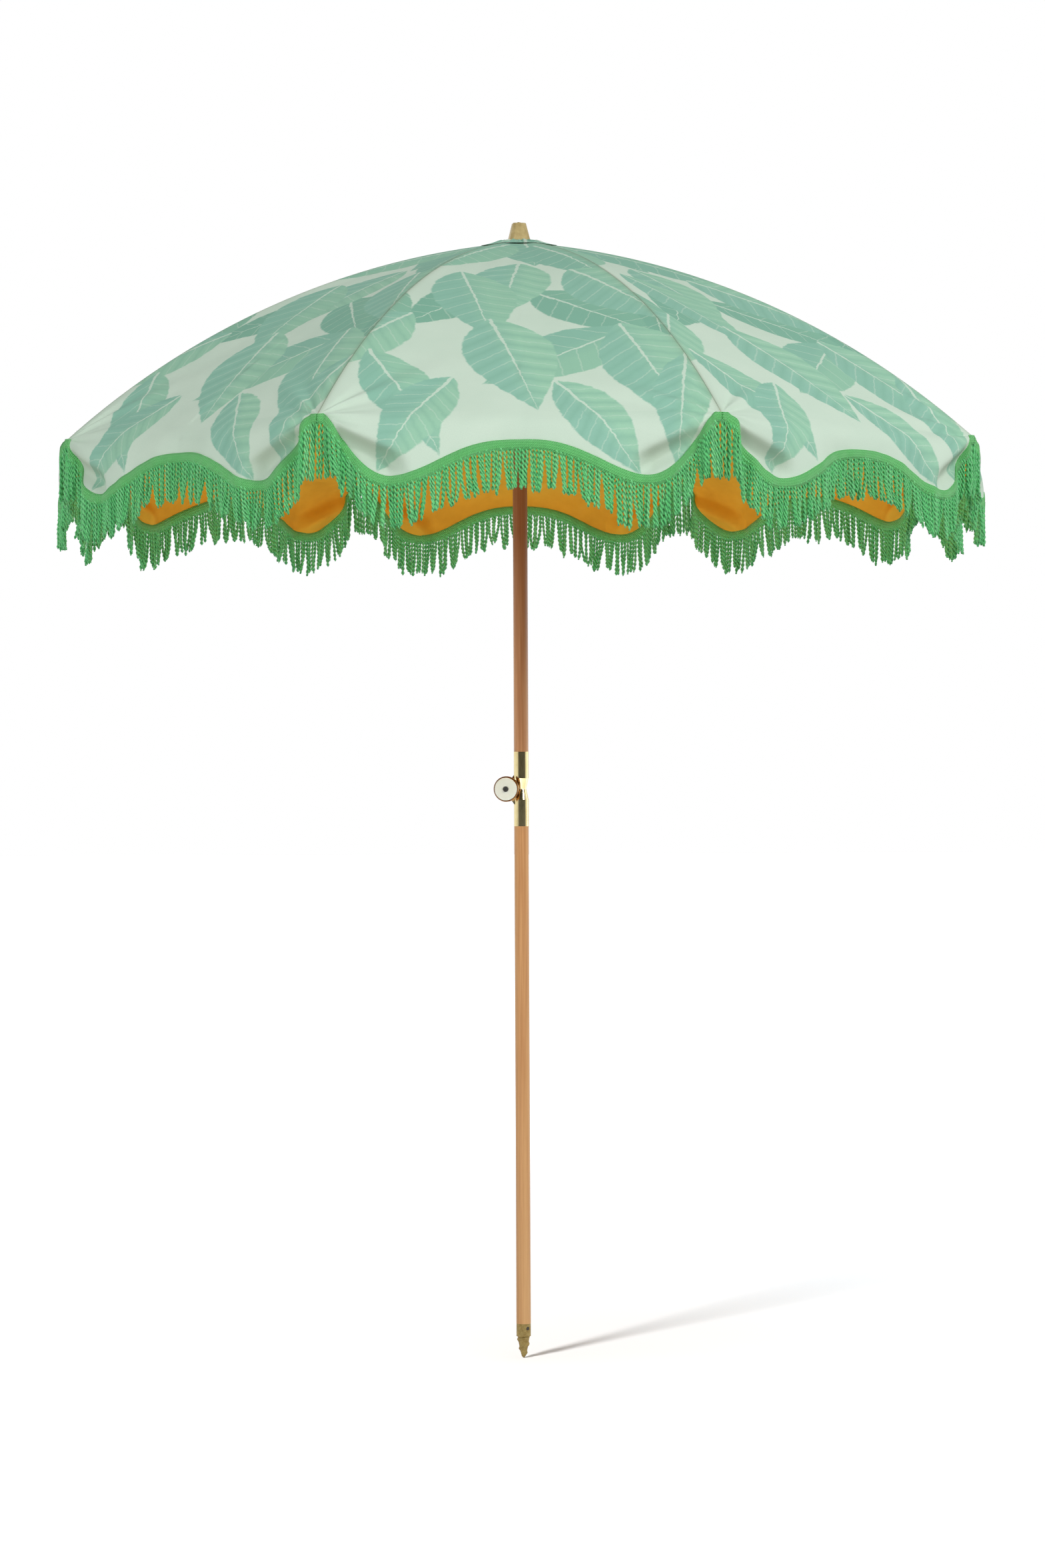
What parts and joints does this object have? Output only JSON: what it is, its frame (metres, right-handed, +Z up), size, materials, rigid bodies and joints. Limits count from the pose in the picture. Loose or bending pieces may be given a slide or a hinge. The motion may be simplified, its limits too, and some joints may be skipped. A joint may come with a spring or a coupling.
{
  "type": "beach umbrella",
  "caption": "Tall beach umbrella with a fringed, scalloped cloth dome on folding ribs, a jointed wooden pole with a tilt hinge and knob, and a screw-in ground spike.",
  "frame": {"origin": "tip of the ground spike, on the pole's axis", "axes": "+Z up along the pole, -Y towards the front of the tilt knob, +X to the right"},
  "size_m": [1.9704, 1.9704, 2.5],
  "materials": {
    "wood": "clear varnish",
    "brass": "polished",
    "cast_spike": "rough cast",
    "steel": "plain",
    "knob_rim": "bronze",
    "knob_face": "gloss",
    "hub": "matte",
    "rib": "satin",
    "canopy": "woven print",
    "fringe": "twisted cotton"
  },
  "bodies": {
    "lower_pole": {"ground_spike": "cast_spike", "spike_socket": "brass", "spike_screw": "steel", "lower_pole": "wood", "lower_ferrule": "brass", "lower_rivet": "brass", "pivot_bolt": "steel", "knob_washer": "steel"},
    "upper_pole": {"upper_ferrule": "brass", "upper_rivet": "brass", "upper_pole": "wood", "crown": "hub", "crown_pins": "steel", "canopy_cap": "canopy", "finial_stud": "steel", "finial": "brass"},
    "tilt_knob": {"tilt_knob": "knob_rim", "knob_face": "knob_face", "knob_screw": "steel"},
    "runner": {"runner": "hub", "runner_pins": "steel"},
    "runner_thumbscrew": {"runner_thumbscrew": "brass"},
    "rib_1": {"rib_1": "rib"},
    "stretcher_1": {"stretcher_1": "rib"},
    "gore_1": {"canopy_panel_1": "canopy"},
    "valance_1": {"valance_1": "fringe"},
    "rib_2": {"rib_2": "rib"},
    "stretcher_2": {"stretcher_2": "rib"},
    "gore_2": {"canopy_panel_2": "canopy"},
    "valance_2": {"valance_2": "fringe"},
    "rib_3": {"rib_3": "rib"},
    "stretcher_3": {"stretcher_3": "rib"},
    "gore_3": {"canopy_panel_3": "canopy"},
    "valance_3": {"valance_3": "fringe"},
    "rib_4": {"rib_4": "rib"},
    "stretcher_4": {"stretcher_4": "rib"},
    "gore_4": {"canopy_panel_4": "canopy"},
    "valance_4": {"valance_4": "fringe"},
    "rib_5": {"rib_5": "rib"},
    "stretcher_5": {"stretcher_5": "rib"},
    "gore_5": {"canopy_panel_5": "canopy"},
    "valance_5": {"valance_5": "fringe"},
    "rib_6": {"rib_6": "rib"},
    "stretcher_6": {"stretcher_6": "rib"},
    "gore_6": {"canopy_panel_6": "canopy"},
    "valance_6": {"valance_6": "fringe"},
    "rib_7": {"rib_7": "rib"},
    "stretcher_7": {"stretcher_7": "rib"},
    "gore_7": {"canopy_panel_7": "canopy"},
    "valance_7": {"valance_7": "fringe"},
    "rib_8": {"rib_8": "rib"},
    "stretcher_8": {"stretcher_8": "rib"},
    "gore_8": {"canopy_panel_8": "canopy"},
    "valance_8": {"valance_8": "fringe"}
  },
  "joints": [
    {"name": "tilt", "type": "hinge", "parent": "lower_pole", "child": "upper_pole", "pos_m": [-0.02739, 0.00582, 1.254], "axis": [-0.2079, -0.9781, 0], "range_deg": [0, 45]},
    {"name": "tilt_knob_turn", "type": "hinge", "parent": "lower_pole", "child": "tilt_knob", "pos_m": [-0.03032, -0.00797, 1.254], "axis": [-0.2079, -0.9781, 0], "range_deg": [0, 270]},
    {"name": "canopy_fold", "type": "hinge", "parent": "upper_pole", "child": "rib_1", "pos_m": [0.03141, 0.01301, 2.446], "axis": [-0.3827, 0.9239, 0], "range_deg": [0, 62], "deforming": ["canopy_panel_1", "canopy_panel_2", "canopy_panel_3", "canopy_panel_4", "canopy_panel_5", "canopy_panel_6", "canopy_panel_7", "canopy_panel_8", "valance_1", "valance_2", "valance_3", "valance_4", "valance_5", "valance_6", "valance_7", "valance_8"]},
    {"name": "rib_2_hinge", "type": "hinge", "parent": "upper_pole", "child": "rib_2", "pos_m": [0.01301, 0.03141, 2.446], "axis": [-0.9239, 0.3827, 0], "range_deg": [-0.5, 62.5]},
    {"name": "rib_3_hinge", "type": "hinge", "parent": "upper_pole", "child": "rib_3", "pos_m": [-0.01301, 0.03141, 2.446], "axis": [-0.9239, -0.3827, 0], "range_deg": [-0.5, 62.5]},
    {"name": "rib_4_hinge", "type": "hinge", "parent": "upper_pole", "child": "rib_4", "pos_m": [-0.03141, 0.01301, 2.446], "axis": [-0.3827, -0.9239, 0], "range_deg": [-0.5, 62.5]},
    {"name": "rib_5_hinge", "type": "hinge", "parent": "upper_pole", "child": "rib_5", "pos_m": [-0.03141, -0.01301, 2.446], "axis": [0.3827, -0.9239, 0], "range_deg": [-0.5, 62.5]},
    {"name": "rib_6_hinge", "type": "hinge", "parent": "upper_pole", "child": "rib_6", "pos_m": [-0.01301, -0.03141, 2.446], "axis": [0.9239, -0.3827, 0], "range_deg": [-0.5, 62.5]},
    {"name": "rib_7_hinge", "type": "hinge", "parent": "upper_pole", "child": "rib_7", "pos_m": [0.01301, -0.03141, 2.446], "axis": [0.9239, 0.3827, 0], "range_deg": [-0.5, 62.5]},
    {"name": "rib_8_hinge", "type": "hinge", "parent": "upper_pole", "child": "rib_8", "pos_m": [0.03141, -0.01301, 2.446], "axis": [0.3827, 0.9239, 0], "range_deg": [-0.5, 62.5]},
    {"name": "stretcher_1_hinge", "type": "hinge", "parent": "rib_1", "child": "stretcher_1", "pos_m": [0.45322, 0.18773, 2.30766], "axis": [-0.3827, 0.9239, 0], "range_deg": [-124.5, 0.5]},
    {"name": "stretcher_2_hinge", "type": "hinge", "parent": "rib_2", "child": "stretcher_2", "pos_m": [0.18773, 0.45322, 2.30766], "axis": [-0.9239, 0.3827, 0], "range_deg": [-124.5, 0.5]},
    {"name": "stretcher_3_hinge", "type": "hinge", "parent": "rib_3", "child": "stretcher_3", "pos_m": [-0.18773, 0.45322, 2.30766], "axis": [-0.9239, -0.3827, 0], "range_deg": [-124.5, 0.5]},
    {"name": "stretcher_4_hinge", "type": "hinge", "parent": "rib_4", "child": "stretcher_4", "pos_m": [-0.45322, 0.18773, 2.30766], "axis": [-0.3827, -0.9239, 0], "range_deg": [-124.5, 0.5]},
    {"name": "stretcher_5_hinge", "type": "hinge", "parent": "rib_5", "child": "stretcher_5", "pos_m": [-0.45322, -0.18773, 2.30766], "axis": [0.3827, -0.9239, 0], "range_deg": [-124.5, 0.5]},
    {"name": "stretcher_6_hinge", "type": "hinge", "parent": "rib_6", "child": "stretcher_6", "pos_m": [-0.18773, -0.45322, 2.30766], "axis": [0.9239, -0.3827, 0], "range_deg": [-124.5, 0.5]},
    {"name": "stretcher_7_hinge", "type": "hinge", "parent": "rib_7", "child": "stretcher_7", "pos_m": [0.18773, -0.45322, 2.30766], "axis": [0.9239, 0.3827, 0], "range_deg": [-124.5, 0.5]},
    {"name": "stretcher_8_hinge", "type": "hinge", "parent": "rib_8", "child": "stretcher_8", "pos_m": [0.45322, -0.18773, 2.30766], "axis": [0.3827, 0.9239, 0], "range_deg": [-124.5, 0.5]},
    {"name": "runner_hinge", "type": "hinge", "parent": "stretcher_1", "child": "runner", "pos_m": [0.03141, 0.01301, 2.16931], "axis": [-0.3827, 0.9239, 0], "range_deg": [-0.5, 62.5]},
    {"name": "thumbscrew_turn", "type": "hinge", "parent": "runner", "child": "runner_thumbscrew", "pos_m": [0, -0.025, 2.13001], "axis": [0, -1, 0], "range_deg": [0, 360]},
    {"name": "gore_1_hinge", "type": "hinge", "parent": "upper_pole", "child": "gore_1", "pos_m": [0.02221, 0.02221, 2.446], "axis": [-0.7071, 0.7071, 0], "range_deg": [-0.5, 62]},
    {"name": "gore_2_hinge", "type": "hinge", "parent": "upper_pole", "child": "gore_2", "pos_m": [0, 0.03141, 2.446], "axis": [-1, 0, 0], "range_deg": [-0.5, 62]},
    {"name": "gore_3_hinge", "type": "hinge", "parent": "upper_pole", "child": "gore_3", "pos_m": [-0.02221, 0.02221, 2.446], "axis": [-0.7071, -0.7071, 0], "range_deg": [-0.5, 62]},
    {"name": "gore_4_hinge", "type": "hinge", "parent": "upper_pole", "child": "gore_4", "pos_m": [-0.03141, 0, 2.446], "axis": [0, -1, 0], "range_deg": [-0.5, 62]},
    {"name": "gore_5_hinge", "type": "hinge", "parent": "upper_pole", "child": "gore_5", "pos_m": [-0.02221, -0.02221, 2.446], "axis": [0.7071, -0.7071, 0], "range_deg": [-0.5, 62]},
    {"name": "gore_6_hinge", "type": "hinge", "parent": "upper_pole", "child": "gore_6", "pos_m": [0, -0.03141, 2.446], "axis": [1, 0, 0], "range_deg": [-0.5, 62]},
    {"name": "gore_7_hinge", "type": "hinge", "parent": "upper_pole", "child": "gore_7", "pos_m": [0.02221, -0.02221, 2.446], "axis": [0.7071, 0.7071, 0], "range_deg": [-0.5, 62]},
    {"name": "gore_8_hinge", "type": "hinge", "parent": "upper_pole", "child": "gore_8", "pos_m": [0.03141, 0, 2.446], "axis": [0, 1, 0], "range_deg": [-0.5, 62]},
    {"name": "valance_1_hinge", "type": "hinge", "parent": "gore_1", "child": "valance_1", "pos_m": [0.66607, 0.66607, 1.9944], "axis": [-0.7071, 0.7071, 0], "range_deg": [-62, 0.5]},
    {"name": "valance_2_hinge", "type": "hinge", "parent": "gore_2", "child": "valance_2", "pos_m": [0, 0.94197, 1.9944], "axis": [-1, 0, 0], "range_deg": [-62, 0.5]},
    {"name": "valance_3_hinge", "type": "hinge", "parent": "gore_3", "child": "valance_3", "pos_m": [-0.66607, 0.66607, 1.9944], "axis": [-0.7071, -0.7071, 0], "range_deg": [-62, 0.5]},
    {"name": "valance_4_hinge", "type": "hinge", "parent": "gore_4", "child": "valance_4", "pos_m": [-0.94197, 0, 1.9944], "axis": [0, -1, 0], "range_deg": [-62, 0.5]},
    {"name": "valance_5_hinge", "type": "hinge", "parent": "gore_5", "child": "valance_5", "pos_m": [-0.66607, -0.66607, 1.9944], "axis": [0.7071, -0.7071, 0], "range_deg": [-62, 0.5]},
    {"name": "valance_6_hinge", "type": "hinge", "parent": "gore_6", "child": "valance_6", "pos_m": [0, -0.94197, 1.9944], "axis": [1, 0, 0], "range_deg": [-62, 0.5]},
    {"name": "valance_7_hinge", "type": "hinge", "parent": "gore_7", "child": "valance_7", "pos_m": [0.66607, -0.66607, 1.9944], "axis": [0.7071, 0.7071, 0], "range_deg": [-62, 0.5]},
    {"name": "valance_8_hinge", "type": "hinge", "parent": "gore_8", "child": "valance_8", "pos_m": [0.94197, 0, 1.9944], "axis": [0, 1, 0], "range_deg": [-62, 0.5]}
  ],
  "couplings": [
    {"joint": "rib_2_hinge", "follows": "canopy_fold", "ratio": 1},
    {"joint": "rib_3_hinge", "follows": "canopy_fold", "ratio": 1},
    {"joint": "rib_4_hinge", "follows": "canopy_fold", "ratio": 1},
    {"joint": "rib_5_hinge", "follows": "canopy_fold", "ratio": 1},
    {"joint": "rib_6_hinge", "follows": "canopy_fold", "ratio": 1},
    {"joint": "rib_7_hinge", "follows": "canopy_fold", "ratio": 1},
    {"joint": "rib_8_hinge", "follows": "canopy_fold", "ratio": 1},
    {"joint": "stretcher_1_hinge", "follows": "canopy_fold", "ratio": -2},
    {"joint": "stretcher_2_hinge", "follows": "canopy_fold", "ratio": -2},
    {"joint": "stretcher_3_hinge", "follows": "canopy_fold", "ratio": -2},
    {"joint": "stretcher_4_hinge", "follows": "canopy_fold", "ratio": -2},
    {"joint": "stretcher_5_hinge", "follows": "canopy_fold", "ratio": -2},
    {"joint": "stretcher_6_hinge", "follows": "canopy_fold", "ratio": -2},
    {"joint": "stretcher_7_hinge", "follows": "canopy_fold", "ratio": -2},
    {"joint": "stretcher_8_hinge", "follows": "canopy_fold", "ratio": -2},
    {"joint": "runner_hinge", "follows": "canopy_fold", "ratio": 1},
    {"joint": "gore_1_hinge", "follows": "canopy_fold", "ratio": 0.95161},
    {"joint": "gore_2_hinge", "follows": "canopy_fold", "ratio": 0.95161},
    {"joint": "gore_3_hinge", "follows": "canopy_fold", "ratio": 0.95161},
    {"joint": "gore_4_hinge", "follows": "canopy_fold", "ratio": 0.95161},
    {"joint": "gore_5_hinge", "follows": "canopy_fold", "ratio": 0.95161},
    {"joint": "gore_6_hinge", "follows": "canopy_fold", "ratio": 0.95161},
    {"joint": "gore_7_hinge", "follows": "canopy_fold", "ratio": 0.95161},
    {"joint": "gore_8_hinge", "follows": "canopy_fold", "ratio": 0.95161},
    {"joint": "valance_1_hinge", "follows": "canopy_fold", "ratio": -0.95161},
    {"joint": "valance_2_hinge", "follows": "canopy_fold", "ratio": -0.95161},
    {"joint": "valance_3_hinge", "follows": "canopy_fold", "ratio": -0.95161},
    {"joint": "valance_4_hinge", "follows": "canopy_fold", "ratio": -0.95161},
    {"joint": "valance_5_hinge", "follows": "canopy_fold", "ratio": -0.95161},
    {"joint": "valance_6_hinge", "follows": "canopy_fold", "ratio": -0.95161},
    {"joint": "valance_7_hinge", "follows": "canopy_fold", "ratio": -0.95161},
    {"joint": "valance_8_hinge", "follows": "canopy_fold", "ratio": -0.95161}
  ]
}
